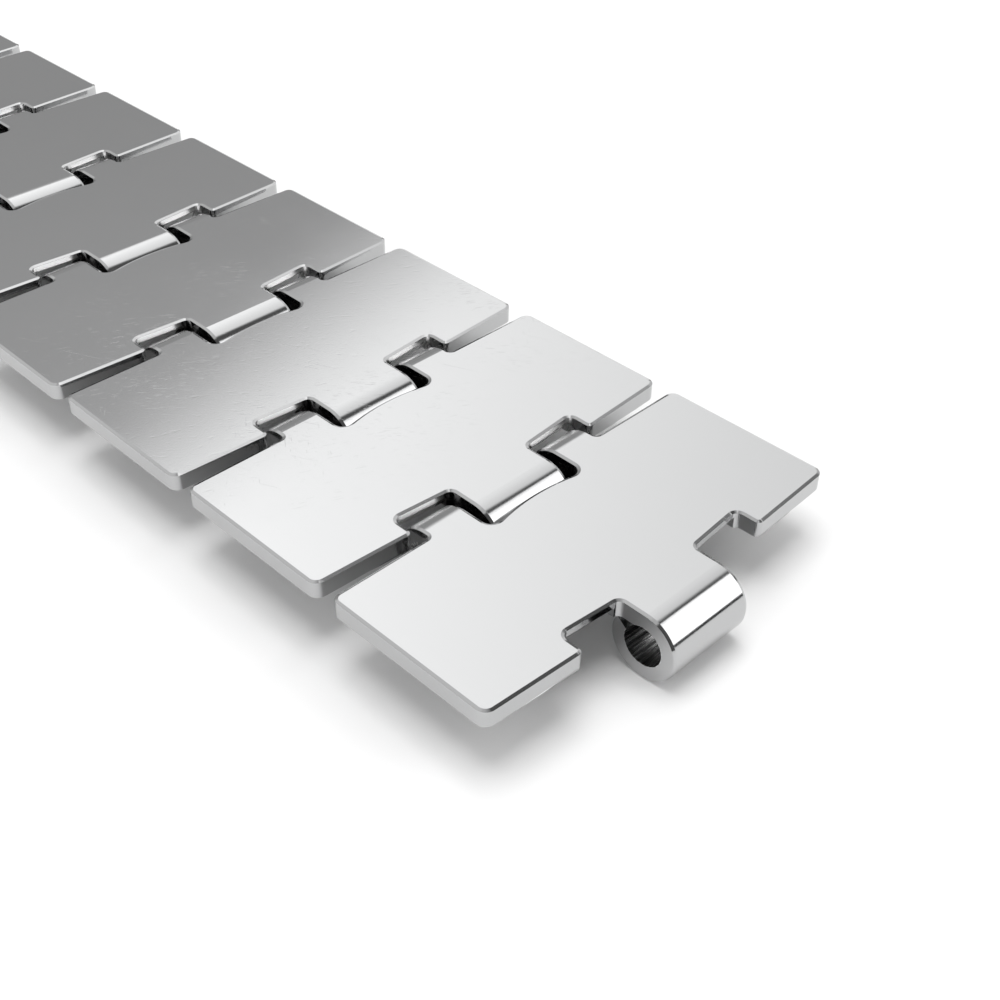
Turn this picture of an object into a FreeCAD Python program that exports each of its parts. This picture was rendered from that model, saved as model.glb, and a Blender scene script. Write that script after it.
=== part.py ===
import FreeCAD
import Part

import math
import os

# Side-flexing flat top chain, a straight run of rolled stainless steel links.
# Lengths are in millimetres and angles in degrees.
# +X is the way the chain leads, +Y is across it, and +Z is up, out of the carrying face.
# The origin is the centre of the leading link's open knuckle, on its hinge axis.

# The run
pitch = 38.1
link_count = 11

# Sheet and hinge pin
plate_width = 82.5
plate_thickness = 3.3
pin_diameter = 6.35
pin_end_inset = 0.2
pin_end_chamfer = 0.5

# Clearances, each measured along a radius
pin_running_clearance = 0.05
knuckle_land_clearance = 0.08
knuckle_mouth_clearance = 0.05
curl_clearance = 0.3

# How far one link can turn sideways on its pin
side_flex_angle = 3.5

# Hinge, measured across the chain
knuckle_width = 18.2
knuckle_land_width = 2.0
tab_gap_width = 22.3
tab_span_width = 40.2
notch_span_width = 43.0

# Rolled curls
curl_seam_gap = 0.15
curl_lip_angle = 17.0

# Plate outline, measured along the chain
front_corner_setback = 2.4
front_edge_sweep = 3.0
shoulder_lead = 1.5
notch_wall_height = 1.4
recess_wall_height = 2.2
recess_bulge = 1.1

# Corner radii of the plate outline
outer_front_radius = 2.0
outer_rear_radius = 1.6
notch_inner_radius = 1.2
notch_outer_radius = 1.4
notch_mouth_radius = 1.0
shoulder_radius = 1.0
recess_pocket_radius = 2.0

# Edge that punching draws down all round the carrying face and the curls
edge_roll_width = 0.55
edge_roll_depth = 0.24

# How far one body of material runs into the next where they are joined
joining_overlap = 1.0

pin_radius = pin_diameter / 2
tab_bore_radius = pin_radius + pin_running_clearance
land_bore_radius = pin_radius + knuckle_land_clearance
curl_radius = tab_bore_radius + plate_thickness
top_height = curl_radius
underside_height = curl_radius - plate_thickness

half_width = plate_width / 2
half_knuckle = knuckle_width / 2
half_land = knuckle_land_width / 2
half_tab_gap = tab_gap_width / 2
half_tab_span = tab_span_width / 2
half_notch_span = notch_span_width / 2

flex_slope = math.tan(math.radians(side_flex_angle))
flex_stretch = 1 / math.cos(math.radians(side_flex_angle))
# A tab's corner shifts sideways by this much as its link flexes.
flex_side_shift = curl_radius * math.sin(math.radians(side_flex_angle))


def relief_radius(across):
    """Radius about the hinge axis that a flexed curl keeps clear of, at a distance off centre."""
    return (curl_radius + curl_clearance) * flex_stretch + across * flex_slope


def mouth_radius(across):
    """Radius of the knuckle's flared bore, which lets the pin tilt in it."""
    return pin_radius * flex_stretch + across * flex_slope + knuckle_mouth_clearance


def wall_distance(across, wall_height):
    """How far from a hinge axis a wall stands that reaches this far down to the relief."""
    return math.sqrt(relief_radius(across) ** 2 - (top_height - wall_height) ** 2)


def notch_wall_setback(across):
    """How far behind the hinge axis the notch's wall stands over the neighbour's curl."""
    return wall_distance(across, notch_wall_height)


def front_edge_setback(across):
    """How far behind the hinge axis the swept front edge lies."""
    sweep = math.tan(math.radians(front_edge_sweep))
    return front_corner_setback - (half_width - across) * sweep


def rounded_wire(corners):
    """Closed wire in the XY plane through corners given as (x, y, corner radius)."""
    ends = []
    count = len(corners)
    for index in range(count):
        x, y, radius = corners[index]
        here = FreeCAD.Vector(x, y, 0)
        before = FreeCAD.Vector(corners[index - 1][0], corners[index - 1][1], 0)
        after = FreeCAD.Vector(corners[(index + 1) % count][0], corners[(index + 1) % count][1], 0)
        if radius == 0:
            ends.append((here, None, here))
            continue
        inward = (before - here).normalize()
        outward = (after - here).normalize()
        half_corner = inward.getAngle(outward) / 2
        reach = radius / math.tan(half_corner)
        bisector = (inward + outward).normalize()
        centre = here + bisector * (radius / math.sin(half_corner))
        middle = centre - bisector * radius
        ends.append((here + inward * reach, middle, here + outward * reach))
    edges = []
    for index in range(count):
        start, middle, finish = ends[index]
        if middle is not None:
            edges.append(Part.Arc(start, middle, finish).toShape())
        edges.append(Part.LineSegment(finish, ends[(index + 1) % count][0]).toShape())
    return Part.Wire(edges)


def raised(wire):
    """Sheet of the plate's thickness under the carrying face, with the wire as its outline."""
    face = Part.Face(wire)
    face.translate(FreeCAD.Vector(0, 0, underside_height))
    return face.extrude(FreeCAD.Vector(0, 0, plate_thickness))


def flat_plate():
    """Flat stretch of a link, from the root of its knuckle to the root of its tabs."""
    shoulder = -pitch + shoulder_lead
    # The flat sheet ends between the shoulder's corner and the fold line of the tab.
    tab_start = -pitch + (shoulder_lead - shoulder_radius) / 2
    half = [
        (-notch_wall_setback(half_knuckle) + notch_inner_radius + joining_overlap, half_knuckle, 0),
        (-notch_wall_setback(half_knuckle), half_knuckle, notch_inner_radius),
        (-notch_wall_setback(half_notch_span), half_notch_span, notch_outer_radius),
        (-front_edge_setback(half_notch_span), half_notch_span, notch_mouth_radius),
        (-front_edge_setback(half_width), half_width, outer_front_radius),
        (shoulder, half_width, outer_rear_radius),
        (shoulder, half_tab_span, shoulder_radius),
        (tab_start, half_tab_span, 0),
    ]
    other_half = [(x, -y, radius) for x, y, radius in reversed(half)]
    return raised(rounded_wire(half + other_half))


def recess_space():
    """Space cut from the plate's rear edge for the neighbour's knuckle, bowed towards it."""
    centre_lead = wall_distance(0, recess_wall_height)
    bow_radius = (half_knuckle ** 2 + recess_bulge ** 2) / (2 * recess_bulge)
    bow_centre = -pitch + centre_lead + bow_radius
    pocket_across = half_tab_gap - recess_pocket_radius
    reach = bow_radius + recess_pocket_radius
    pocket_x = bow_centre - math.sqrt(reach ** 2 - pocket_across ** 2)
    pocket_share = bow_radius / reach
    bow_end_x = bow_centre + (pocket_x - bow_centre) * pocket_share
    bow_end_across = pocket_across * pocket_share
    slant = math.atan2(pocket_across, bow_centre - pocket_x)
    middle_angle = (math.pi / 2 + slant) / 2 - slant
    middle_x = pocket_x + recess_pocket_radius * math.cos(middle_angle)
    middle_across = pocket_across + recess_pocket_radius * math.sin(middle_angle)
    open_end = -pitch - curl_radius - joining_overlap

    def point(x, across):
        return FreeCAD.Vector(x, across, 0)

    edges = [
        Part.LineSegment(point(open_end, -half_tab_gap), point(pocket_x, -half_tab_gap)).toShape(),
        Part.Arc(point(pocket_x, -half_tab_gap), point(middle_x, -middle_across),
                 point(bow_end_x, -bow_end_across)).toShape(),
        Part.Arc(point(bow_end_x, -bow_end_across), point(-pitch + centre_lead, 0),
                 point(bow_end_x, bow_end_across)).toShape(),
        Part.Arc(point(bow_end_x, bow_end_across), point(middle_x, middle_across),
                 point(pocket_x, half_tab_gap)).toShape(),
        Part.LineSegment(point(pocket_x, half_tab_gap), point(open_end, half_tab_gap)).toShape(),
        Part.LineSegment(point(open_end, half_tab_gap), point(open_end, -half_tab_gap)).toShape(),
    ]
    return raised(Part.Wire(edges))


def curl(axis_x, root_x, low_y, high_y):
    """Strip rolled over a hinge axis and back up under the plate, seen along Y as a loop."""
    side = 1 if root_x < axis_x else -1
    outer_end = math.pi - math.asin((underside_height - curl_seam_gap) / curl_radius)
    inner_end = math.pi - math.radians(curl_lip_angle)
    bottom = -math.pi / 2

    def around(radius, angle):
        return FreeCAD.Vector(axis_x + side * radius * math.cos(angle), low_y, radius * math.sin(angle))

    root_top = FreeCAD.Vector(root_x, low_y, top_height)
    root_under = FreeCAD.Vector(root_x, low_y, underside_height)
    over_axis = around(curl_radius, math.pi / 2)
    under_axis = around(tab_bore_radius, math.pi / 2)
    outer_tip = around(curl_radius, outer_end)
    inner_tip = around(tab_bore_radius, inner_end)
    edges = [
        Part.LineSegment(root_under, root_top).toShape(),
        Part.LineSegment(root_top, over_axis).toShape(),
        Part.Arc(over_axis, around(curl_radius, bottom), outer_tip).toShape(),
        Part.LineSegment(outer_tip, inner_tip).toShape(),
        Part.Arc(inner_tip, around(tab_bore_radius, bottom), under_axis).toShape(),
        Part.LineSegment(under_axis, root_under).toShape(),
    ]
    return Part.Face(Part.Wire(edges)).extrude(FreeCAD.Vector(0, high_y - low_y, 0))


def flared_space(axis_x, start_across, end_across, radius_at, side):
    """Cone about a hinge axis between two distances off centre, wide as radius_at gives there."""
    base = FreeCAD.Vector(axis_x, side * start_across, 0)
    along = FreeCAD.Vector(0, side, 0)
    return Part.makeCone(radius_at(start_across), radius_at(end_across), end_across - start_across, base, along)


def knuckle_bore():
    """Bore of the centre knuckle: a short cylindrical land with a flare on each side."""
    start = FreeCAD.Vector(0, -half_knuckle, 0)
    land = Part.makeCylinder(land_bore_radius, knuckle_width, start, FreeCAD.Vector(0, 1, 0))
    return [land] + [flared_space(0, half_land, half_knuckle, mouth_radius, side) for side in (1, -1)]


def notch_reliefs():
    """Undercut of each notch's wall, so that it clears the neighbour's curls at every flex."""
    start = half_tab_gap - flex_side_shift - 2 * curl_clearance
    end = half_tab_span + flex_side_shift + curl_clearance
    return [flared_space(0, start, end, relief_radius, side) for side in (1, -1)]


def recess_reliefs():
    """Undercut of the recess's wall, so that it clears the neighbour's knuckle at every flex."""
    end = half_knuckle + flex_side_shift + curl_clearance
    return [flared_space(-pitch, 0, end, relief_radius, side) for side in (1, -1)]


def lies_in_carrying_face(edge):
    box = edge.BoundBox
    return abs(box.ZMin - top_height) < 1e-4 and abs(box.ZMax - top_height) < 1e-4


def is_fold_line(edge):
    """True for the line over a hinge axis where the flat face runs on into a curl."""
    box = edge.BoundBox
    over_axis = min(abs(box.XMin), abs(box.XMin + pitch)) < 1e-4
    return over_axis and box.XLength < 1e-4


def is_outer_face(face):
    """True for the carrying face and for the outside of a curl."""
    if face.Surface.TypeId == "Part::GeomCylinder":
        return abs(face.Surface.Radius - curl_radius) < 1e-4
    return abs(face.BoundBox.ZMin - top_height) < 1e-4


def is_curl_rim(edge):
    """True for the outer rim of a curl's end."""
    if edge.Curve.TypeId != "Part::GeomCircle":
        return False
    return abs(edge.Curve.Radius - curl_radius) < 1e-4 and abs(edge.Curve.Axis.y) > 0.99


def roll_edges(body):
    """Slope the edge of the carrying face and curls: the width lies along them, the depth across."""
    outer_first = sorted(body.Faces, key=is_outer_face, reverse=True)
    body = Part.makeSolid(Part.makeShell(outer_first))
    edges = [edge for edge in body.Edges
             if is_curl_rim(edge) or (lies_in_carrying_face(edge) and not is_fold_line(edge))]
    return body.makeChamfer(edge_roll_width, edge_roll_depth, edges)


def link_plate():
    """One link: a plate with its centre knuckle rolled at the front and two tabs at the rear."""
    body = flat_plate().cut(recess_space())
    knuckle_root = -notch_wall_setback(half_knuckle) - joining_overlap
    tab_root = -pitch + shoulder_lead + joining_overlap
    body = body.fuse([
        curl(0, knuckle_root, -half_knuckle, half_knuckle),
        curl(-pitch, tab_root, half_tab_gap, half_tab_span),
        curl(-pitch, tab_root, -half_tab_span, -half_tab_gap),
    ]).removeSplitter()
    return roll_edges(body).cut(knuckle_bore() + notch_reliefs() + recess_reliefs())


def hinge_pin():
    """Plain round pin on the leading hinge axis, its ends just inside the tabs' outer faces."""
    length = tab_span_width - 2 * pin_end_inset
    pin = Part.makeCylinder(pin_radius, length, FreeCAD.Vector(0, -length / 2, 0), FreeCAD.Vector(0, 1, 0))
    rims = [edge for edge in pin.Edges if edge.Curve.TypeId == "Part::GeomCircle"]
    return pin.makeChamfer(pin_end_chamfer, rims)


def export(name, shape, places_back):
    """Write a copy of the shape, moved back along the chain by whole pitches."""
    placed = shape.copy()
    placed.translate(FreeCAD.Vector(-pitch * places_back, 0, 0))
    placed.exportStep("parts/" + name + ".step")


os.makedirs("parts", exist_ok=True)
plate = link_plate()
pin = hinge_pin()
for number in range(1, link_count + 1):
    export("link_plate_%02d" % number, plate, number - 1)
for number in range(1, link_count):
    export("hinge_pin_%02d" % number, pin, number)
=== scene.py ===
"""The looks of a flat top chain: eleven polished steel links on a white studio floor.
Lengths are metres in the same frame as the CAD model, and angles are degrees unless said."""

import math

import bpy
from mathutils import Matrix, Vector

# The camera, measured on the photograph
CAMERA_PLACE = (0.09694, -0.14017, 0.15759)
CAMERA_HEADING = 134.476
CAMERA_DOWN = 38.607
CAMERA_ROLL = 1.065
CAMERA_NEAR = 0.005
FOCAL_PIXELS = 1437.95
PHOTO_PIXELS = 1000
SENSOR_WIDTH = 36.0

PITCH = 0.0381

# The floor, and the lamp that whitens it
CHAIN_UNDERSIDE = -0.006525
FLOOR_SIZE = 6.0
FLOOR_COLOUR = 0.84
FLOOR_ROUGHNESS = 0.75
FLOOR_PATCHES = 3.0
FLOOR_PATCH_SHARES = (0.985, 1.01)
FLOOR_GRAIN = 900.0
FLOOR_RELIEF = 0.1
FLOOR_RELIEF_HEIGHT = 0.00005
LAMP_POWER = 12.3
LAMP_HEIGHT = 1.5
LAMP_SIZE = 1.0
LAMP_PITCHES_BACK = 5

# The room's light
HORIZON_LIGHT = 0.06
ROOM_LIGHT = 0.44
BACK_WALL_RISE = 0.17
LEFT_RISE = 0.29
FRONT_WALL_LIGHT = 0.12
FRONT_CORNER_RISE = 0.16
KEY_LIGHT = 2.4
KEY_TOP_SHARE = 0.5
FILL_LIGHT = 1.25
# The overhead panel's light, and how it falls off towards +X and +Y
OVERHEAD_LIGHT = 1.84
OVERHEAD_FALL = (-0.76, -1.24, 0.0)
OVERHEAD_LOW_EDGE = (0.702, 0.240, 0.670)
OVERHEAD_LOW_FADE = (-0.06, 0.06)
# A panel's azimuth, elevation, half width and half height, and the softness of its edges
KEY_PANEL = (49.5, 31.0, 15.7, 23.0, 0.03)
FILL_PANEL = (-72.0, 20.0, 34.0, 24.0, 0.15)
PANEL_SIDE_OF_SKY = (0.02, 0.1)

# Where the room's light changes, as stretches of a unit direction's X
FRONT_EDGE = (-0.06, 0.10)
BACK_WALL_EDGE = (-0.25, -0.05)
OVERHEAD_FRONT = (-0.03, 0.12)
# The same for its Y
FRONT_CORNER = (0.62, 0.68)
LEFT_EDGE = (-0.10, 0.12)
OVERHEAD_SIDE = (0.08, 0.14)
# The same for its Z
HORIZON = (0.05, 0.15)
CEILING = (0.90, 0.98)
BACK_WALL_FOOT = (0.33, 0.62)
LEFT_FOOT = (0.1, 0.3)
OVERHEAD_FOOT = (0.0, 0.1)
KEY_TOP = (0.68, 0.86)
# How much further ahead the front wall starts at the ceiling
CEILING_SHIFT = 0.2

# The two steels: reflectance, roughness and strength of the relief
LINK_STEEL = (0.50, 0.10, 0.15)
PIN_STEEL = (0.23, 0.20, 0.25)

# How fine the steel's patterns are, along each axis where it matters, with the dents' turn
# about Z in radians
ROLLING_LINES = (35.0, 5200.0, 35.0)
BORE_STREAKS = (2300.0, 25.0, 2300.0)
GRAIN = 2600.0
SMEARS = 70.0
CLOUDS = 22.0
# The painted shade in the slots between links comes in patches this fine
SLOT_SHADE_PATCHES = 420.0
DENTS = (500.0, 1100.0, 500.0)
DENT_TURN = -0.9
DENT_EDGE = (0.60, 0.78)

# Scratch families: turn about Z in radians, fineness along and across a scratch,
# threshold above which the noise shows one, and the scale of the patches that hold them
SCRATCHES = (
    (-0.80, 420.0, 4200.0, 0.68, 48.0),
    (-1.15, 300.0, 3800.0, 0.70, 36.0),
    (-0.45, 60.0, 4300.0, 0.75, 30.0),
    (0.60, 350.0, 4000.0, 0.72, 60.0),
)
SCRATCH_FADE = 0.03
SCRATCH_PATCH_EDGE = (0.52, 0.62)
# The stretch of chain, in X, whose faces are the most rubbed, and the share of marks elsewhere
RUBBED_REAR = (-0.150, -0.120)
RUBBED_FRONT = (-0.075, -0.045)
LEAST_RUBBED = 0.35

# How strongly clouds and rolling lines tint the steel
CLOUD_TINT = 0.2
LINE_TINT = 0.35
# The darker and the lighter tint, as a share of the reflectance and a warmth
DARK_TINT = (0.96, -0.006)
LIGHT_TINT = (1.04, -0.004)
# The colour of each kind of mark, as a share of the reflectance or as a grey
SCRATCH_SHARE = 0.8
SCRATCH_STRENGTH = 0.2
BORE_DARK_SHARE = 0.6
BORE_BRIGHT_GREY = 0.95
BORE_STREAK_EDGE = (0.45, 0.56)
# Painted highlight on the notch walls: a grey far lighter than the steel
WALL_HIGHLIGHT_GREY = 0.90
# Painted shade in the slots between links and on the tab ends: its colour as a share of the
# reflectance, its warmth and its patches
SLOT_SHADE_SHARE = 0.14
SLOT_SHADE_WARMTH = 0.03
SLOT_SHADE_PATCH_EDGE = (0.25, 0.6)
LEAST_SLOT_SHADE = 0.75
# How the smears vary the roughness
SMEAR_EDGE = (0.30, 0.75)
LEAST_SMEARED = 0.9
MOST_SMEARED = 1.15
# What each kind of mark adds to the roughness
SCRATCH_ROUGHNESS = 0.1
BORE_ROUGHNESS = 0.08
WALL_HIGHLIGHT_ROUGHNESS = 0.22
SLOT_SHADE_ROUGHNESS = 0.2
# How far each pattern stands out of the surface, as shares of the relief's height
RELIEF_HEIGHT = 0.00004
LINE_RELIEF = 0.5
GRAIN_RELIEF = 0.35
SCRATCH_RELIEF = -0.6
DENT_RELIEF = -0.5

# The slots and tab ends hold the painted shade between links, and the notches and their walls hold
# the painted highlight
# Zones round a hinge, each given as the stretch over which it fades in or out.
# Off the chain's middle plane
SLOT_INNER = (0.00903, 0.00909)
SLOT_OUTER = (0.0114, 0.0119)
NOTCH_INNER = (0.0100, 0.0110)
NOTCH_OUTER = (0.0205, 0.0215)
TAB_END = 0.0201
TAB_END_FADE = (0.0001, 0.0003)
# How dark the painted shade on the tab ends is
TAB_END_SHADE = 0.6
# Along the chain from the hinge axis, and as a radius about it
SLOT_SHADE_REACH = (0.0085, 0.0095)
WALL_BEHIND_AXIS = (-0.0028, -0.0018)
WALL_RADIUS = (0.00620, 0.00640)
BORE_RADIUS = (0.0038, 0.0039)
# Up from the hinge axis
SLOT_SHADE_TOP = (0.0044, 0.0060)
WALL_TOP = (0.00615, 0.00625)
# Where the painted highlight on the notch walls gives way to a darker painted line, and how far it
# gives way
WALL_LINE = 0.00512
WALL_LINE_FADE = (0.00006, 0.00016)
WALL_LINE_SHARE = 0.2
# In X: the open hinge at the front, with no link beside it, gets neither painted shade nor painted
# highlight
OPEN_LEAD = (-0.016, -0.012)


def linear(grey, warmth=0.0):
    """A colour of an even grey, a little red over blue by the warmth."""
    return (grey * (1 + warmth), grey, grey * (1 - warmth), 1.0)


class Nodes:
    """A node tree with short calls for the nodes that this scene uses."""

    def __init__(self, tree):
        self.tree = tree
        self.tree.nodes.clear()

    def set_input(self, socket, value):
        if isinstance(value, bpy.types.NodeSocket):
            self.tree.links.new(value, socket)
        else:
            socket.default_value = value

    def add(self, kind, inputs=None, **settings):
        node = self.tree.nodes.new(kind)
        for name, value in settings.items():
            setattr(node, name, value)
        for key, value in (inputs or {}).items():
            self.set_input(node.inputs[key], value)
        return node

    def math(self, operation, first, second=None, clamp=False):
        inputs = {0: first}
        if second is not None:
            inputs[1] = second
        return self.add("ShaderNodeMath", inputs, operation=operation, use_clamp=clamp).outputs[0]

    def product(self, first, *others):
        for value in others:
            first = self.math("MULTIPLY", first, value)
        return first

    def total(self, first, *others):
        for value in others:
            first = self.math("ADD", first, value)
        return first

    def weighted(self, *terms):
        """The sum of some values, each times its weight."""
        return self.total(*(self.math("MULTIPLY", value, weight) for value, weight in terms))

    def between(self, amount, first, second):
        """The first number where the amount is 0, the second where it is 1."""
        return self.total(first, self.product(amount, self.math("SUBTRACT", second, first)))

    def ramp(self, value, low, high, to_low=0.0, to_high=1.0):
        """Smoothly carries a value from low..high to to_low..to_high."""
        node = self.add(
            "ShaderNodeMapRange",
            {"Value": value, "From Min": low, "From Max": high, "To Min": to_low, "To Max": to_high},
            interpolation_type="SMOOTHSTEP",
        )
        return node.outputs["Result"]

    def stretched(self, place, scale, turn=0.0):
        """Turns a place about Z, then scales it along each axis."""
        turned = self.add("ShaderNodeMapping", {"Vector": place, "Rotation": (0.0, 0.0, turn)})
        node = self.add("ShaderNodeMapping", {"Vector": turned.outputs["Vector"], "Scale": scale})
        return node.outputs["Vector"]

    def noise(self, place, scale, detail=2.0, roughness=0.5):
        node = self.add(
            "ShaderNodeTexNoise",
            {"Vector": place, "Scale": scale, "Detail": detail, "Roughness": roughness},
        )
        return node.outputs["Fac"]

    def mix(self, amount, first, second):
        """A colour between two: inputs 6 and 7 and output 2 are the node's colour sockets."""
        node = self.add("ShaderNodeMix", {"Factor": amount}, data_type="RGBA")
        self.set_input(node.inputs[6], first)
        self.set_input(node.inputs[7], second)
        return node.outputs[2]

    def dot(self, direction, vector):
        node = self.add(
            "ShaderNodeVectorMath", {0: direction, 1: tuple(vector)}, operation="DOT_PRODUCT"
        )
        return node.outputs["Value"]


class HingePlace:
    """Where a place lies, seen from the nearest hinge axis and the chain's middle plane."""

    def __init__(self, nodes, place):
        parts = nodes.add("ShaderNodeSeparateXYZ", {0: place}).outputs
        pitches = nodes.math("DIVIDE", parts["X"], PITCH)
        past_axis = nodes.math("SUBTRACT", pitches, nodes.math("ROUND", pitches))
        self.along_chain = parts["X"]
        self.off_middle = nodes.math("ABSOLUTE", parts["Y"])
        self.height = parts["Z"]
        self.past_axis = nodes.product(past_axis, PITCH)
        square = nodes.total(
            nodes.product(self.past_axis, self.past_axis), nodes.product(self.height, self.height)
        )
        self.radius = nodes.math("SQRT", square)
        self.behind_lead = nodes.ramp(self.along_chain, *OPEN_LEAD, 1.0, 0.0)


def new_material(name):
    material = bpy.data.materials.new(name)
    material.use_nodes = True
    return material, Nodes(material.node_tree)


def scratches(nodes, place, turn, along, across, threshold, patch_scale):
    """Thin straight marks in one direction, present only in patches."""
    lines = nodes.noise(nodes.stretched(place, (along, across, along), turn), 1.0, 1.0)
    thin = nodes.ramp(lines, threshold, threshold + SCRATCH_FADE)
    patches = nodes.ramp(nodes.noise(place, patch_scale, 1.0), *SCRATCH_PATCH_EDGE)
    return nodes.product(thin, patches)


def all_scratches(nodes, place):
    marks = 0.0
    for family in SCRATCHES:
        marks = nodes.math("ADD", marks, scratches(nodes, place, *family), clamp=True)
    return marks


def dents(nodes, place):
    """Shallow short dents, 1 in their middles."""
    pattern = nodes.noise(nodes.stretched(place, DENTS, DENT_TURN), 1.0, 2.0)
    return nodes.ramp(pattern, *DENT_EDGE)


def rubbed_stretch(nodes, along_chain):
    """1 on the most rubbed stretch of chain, less before and behind it."""
    return nodes.product(
        nodes.ramp(along_chain, *RUBBED_REAR, LEAST_RUBBED, 1.0),
        nodes.ramp(along_chain, *RUBBED_FRONT, 1.0, LEAST_RUBBED),
    )


def hinge_slot_shade(nodes, place, hinge):
    """Painted shade: 1 on the walls in the slots between two links and on the tab ends, where the
    links hide each other, broken into patches, and 0 elsewhere.
    """
    in_slot = nodes.product(
        nodes.ramp(hinge.off_middle, *SLOT_INNER),
        nodes.ramp(hinge.off_middle, *SLOT_OUTER, 1.0, 0.0),
    )
    from_tab_end = nodes.math("ABSOLUTE", nodes.math("SUBTRACT", hinge.off_middle, TAB_END))
    on_tab_end = nodes.ramp(from_tab_end, *TAB_END_FADE, TAB_END_SHADE, 0.0)
    patches = nodes.ramp(
        nodes.noise(place, SLOT_SHADE_PATCHES, 3.0), *SLOT_SHADE_PATCH_EDGE, LEAST_SLOT_SHADE, 1.0
    )
    return nodes.product(
        nodes.total(in_slot, on_tab_end),
        nodes.ramp(hinge.height, *SLOT_SHADE_TOP, 1.0, 0.0),
        nodes.ramp(nodes.math("ABSOLUTE", hinge.past_axis), *SLOT_SHADE_REACH, 1.0, 0.0),
        hinge.behind_lead,
        patches,
    )


def notch_wall_highlight(nodes, hinge):
    """Painted highlight: 1 on the walls and tab backs in the notches beside a knuckle, less on a
    darker painted line.
    """
    from_line = nodes.math("ABSOLUTE", nodes.math("SUBTRACT", hinge.height, WALL_LINE))
    return nodes.product(
        nodes.ramp(hinge.off_middle, *NOTCH_INNER),
        nodes.ramp(hinge.off_middle, *NOTCH_OUTER, 1.0, 0.0),
        nodes.ramp(hinge.radius, *WALL_RADIUS),
        nodes.ramp(hinge.past_axis, *WALL_BEHIND_AXIS, 1.0, 0.0),
        nodes.ramp(hinge.height, *WALL_TOP, 1.0, 0.0),
        hinge.behind_lead,
        nodes.ramp(from_line, *WALL_LINE_FADE, WALL_LINE_SHARE, 1.0),
    )


def steel(name, grey, polish, relief):
    """Polished stainless strip: fine rolling lines, smears, a few scratches, painted shade in the
    slots between links and a painted highlight on the notch walls.
    """
    material, nodes = new_material(name)
    place = nodes.add("ShaderNodeTexCoord").outputs["Object"]
    hinge = HingePlace(nodes, place)

    lines = nodes.noise(nodes.stretched(place, ROLLING_LINES), 1.0, 3.0, 0.6)
    drawn = nodes.noise(nodes.stretched(place, BORE_STREAKS), 1.0, 2.0, 0.6)
    grain = nodes.noise(place, GRAIN, 2.0)
    smears = nodes.noise(place, SMEARS, 3.0, 0.6)
    clouds = nodes.noise(place, CLOUDS, 2.0)
    rubbed = rubbed_stretch(nodes, hinge.along_chain)
    marks = nodes.product(all_scratches(nodes, place), rubbed)
    dented = nodes.product(dents(nodes, place), rubbed)
    in_bore = nodes.ramp(hinge.radius, *BORE_RADIUS, 1.0, 0.0)
    wall_highlight = notch_wall_highlight(nodes, hinge)
    slot_shade = hinge_slot_shade(nodes, place, hinge)

    middle_tint = 0.5 - (CLOUD_TINT + LINE_TINT) / 2
    tint = nodes.weighted((clouds, CLOUD_TINT), (lines, LINE_TINT))
    tint = nodes.math("ADD", tint, middle_tint, clamp=True)
    dark, light = (linear(grey * share, warmth) for share, warmth in (DARK_TINT, LIGHT_TINT))
    colour = nodes.mix(tint, dark, light)
    scratched = nodes.product(marks, SCRATCH_STRENGTH)
    colour = nodes.mix(scratched, colour, linear(grey * SCRATCH_SHARE))
    streaks = nodes.mix(
        nodes.ramp(drawn, *BORE_STREAK_EDGE), linear(grey * BORE_DARK_SHARE), linear(BORE_BRIGHT_GREY)
    )
    colour = nodes.mix(in_bore, colour, streaks)
    # Painted highlight on the notch walls and tab backs, lighter than the steel
    colour = nodes.mix(wall_highlight, colour, linear(WALL_HIGHLIGHT_GREY))
    # Painted shade in the slots between links and on the tab ends, where the links hide each other
    colour = nodes.mix(slot_shade, colour, linear(grey * SLOT_SHADE_SHARE, SLOT_SHADE_WARMTH))

    smeared = nodes.ramp(smears, *SMEAR_EDGE, polish * LEAST_SMEARED, polish * MOST_SMEARED)
    marred = nodes.weighted(
        (marks, SCRATCH_ROUGHNESS),
        (in_bore, BORE_ROUGHNESS),
        (wall_highlight, WALL_HIGHLIGHT_ROUGHNESS),
        (slot_shade, SLOT_SHADE_ROUGHNESS),
    )
    height = nodes.weighted(
        (lines, LINE_RELIEF), (grain, GRAIN_RELIEF), (marks, SCRATCH_RELIEF), (dented, DENT_RELIEF)
    )
    height = nodes.total(height, nodes.product(in_bore, drawn))
    bump = nodes.add(
        "ShaderNodeBump", {"Strength": relief, "Distance": RELIEF_HEIGHT, "Height": height}
    )
    surface = nodes.add(
        "ShaderNodeBsdfPrincipled",
        {
            "Base Color": colour,
            "Metallic": 1.0,
            "Roughness": nodes.math("ADD", smeared, marred, clamp=True),
            "Normal": bump.outputs["Normal"],
        },
    )
    nodes.add("ShaderNodeOutputMaterial", {"Surface": surface.outputs[0]})
    return material


def floor_material():
    """Smooth white board with a barely seen unevenness."""
    material, nodes = new_material("studio_floor")
    place = nodes.add("ShaderNodeTexCoord").outputs["Object"]
    patches = nodes.noise(place, FLOOR_PATCHES, 2.0)
    grain = nodes.noise(place, FLOOR_GRAIN, 2.0)
    darker, lighter = (linear(FLOOR_COLOUR * share) for share in FLOOR_PATCH_SHARES)
    colour = nodes.mix(patches, darker, lighter)
    bump = nodes.add(
        "ShaderNodeBump",
        {"Strength": FLOOR_RELIEF, "Distance": FLOOR_RELIEF_HEIGHT, "Height": grain},
    )
    surface = nodes.add(
        "ShaderNodeBsdfPrincipled",
        {"Base Color": colour, "Roughness": FLOOR_ROUGHNESS, "Normal": bump.outputs["Normal"]},
    )
    nodes.add("ShaderNodeOutputMaterial", {"Surface": surface.outputs[0]})
    return material


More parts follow.
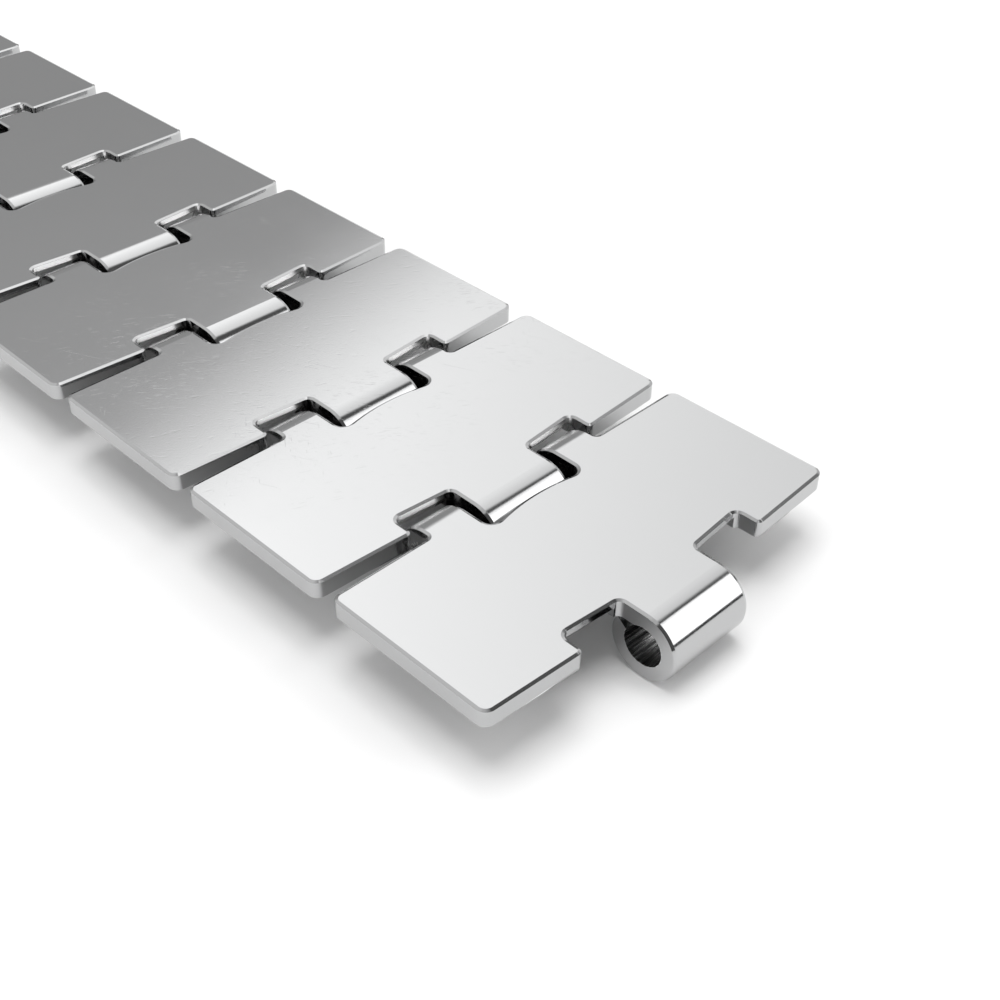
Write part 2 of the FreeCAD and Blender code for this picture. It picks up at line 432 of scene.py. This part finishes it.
def make_floor():
    bpy.ops.mesh.primitive_plane_add(size=FLOOR_SIZE, location=(0.0, 0.0, CHAIN_UNDERSIDE))
    floor = bpy.context.object
    floor.name = "floor"
    floor.data.materials.append(floor_material())


def heading(azimuth, elevation):
    """The unit vector that points that many degrees from +X towards +Y, and that many up."""
    across = math.cos(math.radians(elevation))
    return Vector(
        (
            across * math.cos(math.radians(azimuth)),
            across * math.sin(math.radians(azimuth)),
            math.sin(math.radians(elevation)),
        )
    )


def soft_panel(nodes, direction, azimuth, elevation, half_width, half_height, softness):
    """1 inside a rectangle of sky that faces the chain, 0 outside, with soft edges."""
    forward = heading(azimuth, elevation)
    side = forward.cross(Vector((0, 0, 1))).normalized()
    upright = side.cross(forward)
    depth = nodes.math("MAXIMUM", nodes.dot(direction, forward), 0.01)
    inside = nodes.ramp(depth, *PANEL_SIDE_OF_SKY)
    for axis, half in ((side, half_width), (upright, half_height)):
        reach = math.tan(math.radians(half))
        offset = nodes.math("DIVIDE", nodes.dot(direction, axis), depth)
        offset = nodes.math("ABSOLUTE", offset)
        inside = nodes.product(inside, nodes.ramp(offset, reach, reach + softness, 1.0, 0.0))
    return inside


def make_room_light():
    """A grey room with a broad overhead panel, a key panel beside the chain and a weaker fill."""
    world = bpy.data.worlds.new("studio")
    bpy.context.scene.world = world
    world.use_nodes = True
    nodes = Nodes(world.node_tree)
    direction = nodes.add("ShaderNodeTexCoord").outputs["Generated"]
    parts = nodes.add("ShaderNodeSeparateXYZ", {0: direction}).outputs
    ahead, across, height = parts["X"], parts["Y"], parts["Z"]

    to_front = nodes.math("SUBTRACT", ahead, nodes.ramp(height, *CEILING, 0.0, CEILING_SHIFT))
    wall = nodes.total(
        nodes.ramp(to_front, *FRONT_EDGE, ROOM_LIGHT, FRONT_WALL_LIGHT),
        nodes.ramp(across, *FRONT_CORNER, 0.0, FRONT_CORNER_RISE),
    )
    room = nodes.between(nodes.ramp(height, *HORIZON), HORIZON_LIGHT, wall)
    back = nodes.product(
        nodes.ramp(height, *BACK_WALL_FOOT),
        nodes.ramp(ahead, *BACK_WALL_EDGE, BACK_WALL_RISE, 0.0),
    )
    left = nodes.product(
        nodes.ramp(height, *LEFT_FOOT),
        nodes.ramp(across, *LEFT_EDGE, 1.0, 0.0),
        nodes.ramp(to_front, *FRONT_EDGE, LEFT_RISE, 0.0),
    )
    room = nodes.total(room, back, left)

    overhead = nodes.total(nodes.dot(direction, OVERHEAD_FALL), OVERHEAD_LIGHT)
    under_overhead = nodes.product(
        nodes.ramp(nodes.dot(direction, OVERHEAD_LOW_EDGE), *OVERHEAD_LOW_FADE),
        nodes.ramp(ahead, *OVERHEAD_FRONT, 1.0, 0.0),
        nodes.ramp(across, *OVERHEAD_SIDE),
        nodes.ramp(height, *OVERHEAD_FOOT),
    )
    light = nodes.between(under_overhead, room, overhead)

    key = nodes.product(
        soft_panel(nodes, direction, *KEY_PANEL),
        nodes.ramp(height, *KEY_TOP, 1.0, KEY_TOP_SHARE),
        KEY_LIGHT,
    )
    fill = nodes.product(soft_panel(nodes, direction, *FILL_PANEL), FILL_LIGHT)
    background = nodes.add(
        "ShaderNodeBackground", {"Color": linear(1.0), "Strength": nodes.total(light, key, fill)}
    )
    nodes.add("ShaderNodeOutputWorld", {"Surface": background.outputs[0]})


def make_floor_lamp():
    """A broad lamp high above that whitens the floor and isn't mirrored in the steel."""
    data = bpy.data.lights.new("floor_lamp", "AREA")
    data.shape = "SQUARE"
    data.size = LAMP_SIZE
    data.energy = LAMP_POWER
    lamp = bpy.data.objects.new("floor_lamp", data)
    lamp.location = (-PITCH * LAMP_PITCHES_BACK, 0.0, LAMP_HEIGHT)
    lamp.visible_glossy = False
    bpy.context.scene.collection.objects.link(lamp)


def make_camera():
    data = bpy.data.cameras.new("camera")
    data.sensor_fit = "HORIZONTAL"
    data.sensor_width = SENSOR_WIDTH
    data.lens = FOCAL_PIXELS * SENSOR_WIDTH / PHOTO_PIXELS
    data.clip_start = CAMERA_NEAR
    forward = heading(CAMERA_HEADING, -CAMERA_DOWN)
    level = forward.cross(Vector((0, 0, 1))).normalized()
    upright = level.cross(forward)
    roll = math.radians(CAMERA_ROLL)
    right = level * math.cos(roll) + upright * math.sin(roll)
    up = upright * math.cos(roll) - level * math.sin(roll)
    turn = Matrix((right, up, -forward)).transposed().to_4x4()
    camera = bpy.data.objects.new("camera", data)
    camera.matrix_world = Matrix.Translation(CAMERA_PLACE) @ turn
    bpy.context.scene.collection.objects.link(camera)
    bpy.context.scene.camera = camera


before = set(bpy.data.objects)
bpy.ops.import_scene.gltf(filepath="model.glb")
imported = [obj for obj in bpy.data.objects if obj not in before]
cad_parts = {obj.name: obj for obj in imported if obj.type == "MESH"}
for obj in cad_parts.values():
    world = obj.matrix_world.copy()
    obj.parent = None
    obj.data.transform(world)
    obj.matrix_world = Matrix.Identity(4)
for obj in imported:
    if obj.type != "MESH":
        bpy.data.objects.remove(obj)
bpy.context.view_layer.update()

finishes = {
    "hinge_pin": steel("pin_steel", *PIN_STEEL),
    "link_plate": steel("link_steel", *LINK_STEEL),
}
for name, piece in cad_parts.items():
    finish = finishes[name.rsplit("_", 1)[0]]
    for slot in piece.material_slots:
        slot.material = finish

make_floor()
make_room_light()
make_floor_lamp()
make_camera()
bpy.context.scene.view_settings.view_transform = "Standard"
